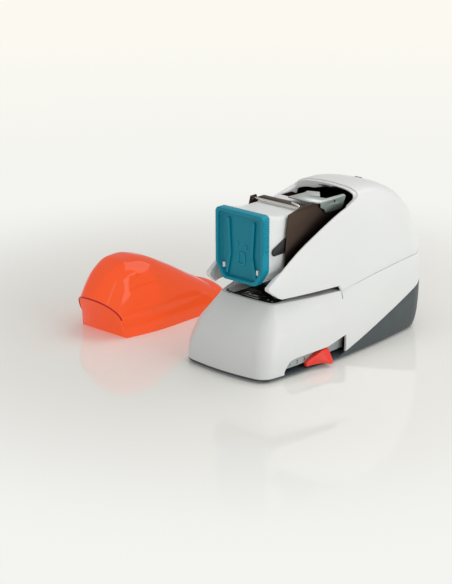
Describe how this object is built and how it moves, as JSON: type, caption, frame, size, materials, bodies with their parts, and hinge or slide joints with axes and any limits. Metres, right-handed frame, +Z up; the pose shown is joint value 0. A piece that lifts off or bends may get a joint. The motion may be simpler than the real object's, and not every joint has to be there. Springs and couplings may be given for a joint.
{
  "type": "electric stapler",
  "caption": "Electric desk stapler with a rounded two-part housing, side depth slider, tilting head, half-drawn staple cassette and a loose translucent cover lying beside it.",
  "frame": {"origin": "on the table top, under the centre of the box round the stapler and its loose cover", "axes": "+Z up, -Y the way the nose and the paper slot face, +X towards the side with the depth slider"},
  "size_m": [0.317, 0.3085, 0.182],
  "materials": {
    "white_plastic": "smooth satin gloss",
    "slate_plastic": "fine satin, blue-grey",
    "grey_plastic": "satin",
    "scale_plastic": "satin, grey-green",
    "black_plastic": "fine grain",
    "red_plastic": "satin",
    "cover_plastic": "translucent, polished",
    "teal_plastic": "slightly translucent, satin",
    "milky_plastic": "milky, translucent",
    "bronze_steel": "dark bronze finish",
    "zinc_steel": "zinc plated",
    "bright_steel": "bright",
    "dark_steel": "dark oxide",
    "spring_steel": "drawn wire",
    "rubber": "matte",
    "circuit_board": "lacquered",
    "lamp_plastic": "smoked, translucent"
  },
  "bodies": {
    "base": {"base_pan": "slate_plastic", "lower_housing": "white_plastic", "upper_housing": "white_plastic", "inner_frame": "black_plastic", "scale_insert": "scale_plastic", "paper_deck": "grey_plastic", "paper_table": "dark_steel", "anvil": "bright_steel", "foot_front_left": "rubber", "foot_front_right": "rubber", "foot_rear_left": "rubber", "foot_rear_right": "rubber", "base_screw_1": "bright_steel", "base_screw_2": "bright_steel", "base_screw_3": "bright_steel", "base_screw_4": "bright_steel", "chassis_floor": "zinc_steel", "chassis_left": "zinc_steel", "chassis_right": "zinc_steel", "head_shaft": "bright_steel", "motor": "zinc_steel", "circuit_board": "circuit_board", "power_inlet": "black_plastic", "switch_frame": "black_plastic", "status_lens": "lamp_plastic", "idler_axle": "bright_steel", "sensor_switch": "black_plastic", "head_spring": "spring_steel"},
    "cover": {"cover": "cover_plastic"},
    "head": {"head_plate_left": "bronze_steel", "head_plate_right": "bronze_steel", "head_floor": "dark_steel", "head_nose": "black_plastic", "head_top_plate": "zinc_steel", "head_tab": "zinc_steel", "head_bridge": "bronze_steel", "head_rod": "bright_steel"},
    "hammer": {"hammer_arm": "dark_steel"},
    "drive_link": {"link_left": "zinc_steel", "link_right": "zinc_steel", "link_pin": "bright_steel"},
    "cassette": {"cassette_front": "teal_plastic", "cassette_case": "milky_plastic", "roll_spindle": "grey_plastic", "staple_strip": "zinc_steel"},
    "cassette_latch": {"cassette_latch": "black_plastic"},
    "staple_roll": {"staple_roll": "zinc_steel"},
    "depth_adjuster": {"depth_knob": "red_plastic", "depth_carriage": "black_plastic", "paper_stop": "grey_plastic"},
    "paper_sensor": {"paper_sensor": "black_plastic"},
    "power_rocker": {"switch_rocker": "red_plastic"},
    "cam": {"cam_gear": "grey_plastic", "cam_shaft": "bright_steel", "crank_left": "dark_steel", "crank_right": "dark_steel"},
    "idler": {"idler_gear": "grey_plastic", "idler_pinion": "bright_steel"},
    "motor_drive": {"motor_pinion": "bright_steel"}
  },
  "joints": [
    {"name": "cover_lift", "type": "slide", "parent": "base", "child": "cover", "axis": [0, 0, 1], "range_m": [0, 0.12]},
    {"name": "head_press", "type": "hinge", "parent": "base", "child": "head", "pos_m": [0.0815, 0.0742, 0.128], "axis": [1, 0, 0], "range_deg": [0, 2.5], "deforming": ["head_spring"]},
    {"name": "hammer_drive", "type": "hinge", "parent": "head", "child": "hammer", "pos_m": [0.0815, 0.0742, 0.128], "axis": [1, 0, 0], "range_deg": [0, 4]},
    {"name": "link_swing", "type": "hinge", "parent": "head", "child": "drive_link", "pos_m": [0.0815, 0.0242, 0.085], "axis": [1, 0, 0], "range_deg": [-4, 2.5]},
    {"name": "cassette_slide", "type": "slide", "parent": "head", "child": "cassette", "axis": [0, -1, 0], "range_m": [-0.022, 0.07]},
    {"name": "cassette_latch_turn", "type": "hinge", "parent": "cassette", "child": "cassette_latch", "pos_m": [0.0815, -0.0942, 0.1346], "axis": [1, 0, 0], "range_deg": [-8, 8]},
    {"name": "staple_roll_spin", "type": "hinge", "parent": "cassette", "child": "staple_roll", "pos_m": [0.0815, -0.0558, 0.138], "axis": [1, 0, 0], "continuous": true},
    {"name": "depth_slide", "type": "slide", "parent": "base", "child": "depth_adjuster", "axis": [0, 1, 0], "range_m": [-0.024, 0.018]},
    {"name": "paper_sensor_tilt", "type": "hinge", "parent": "base", "child": "paper_sensor", "pos_m": [0.0815, -0.0818, 0.066], "axis": [1, 0, 0], "range_deg": [-12, 0]},
    {"name": "power_switch_rock", "type": "hinge", "parent": "base", "child": "power_rocker", "pos_m": [0.0555, 0.1442, 0.026], "axis": [1, 0, 0], "range_deg": [-6, 6]},
    {"name": "cam_spin", "type": "hinge", "parent": "base", "child": "cam", "pos_m": [0.0815, 0.0322, 0.052], "axis": [1, 0, 0], "continuous": true},
    {"name": "idler_spin", "type": "hinge", "parent": "base", "child": "idler", "pos_m": [0.0815, 0.06421, 0.04636], "axis": [1, 0, 0], "continuous": true},
    {"name": "motor_spin", "type": "hinge", "parent": "base", "child": "motor_drive", "pos_m": [0.0815, 0.09409, 0.04374], "axis": [1, 0, 0], "continuous": true}
  ],
  "couplings": [
    {"joint": "cam_spin", "follows": "idler_spin", "ratio": -0.3},
    {"joint": "motor_spin", "follows": "idler_spin", "ratio": -3}
  ]
}
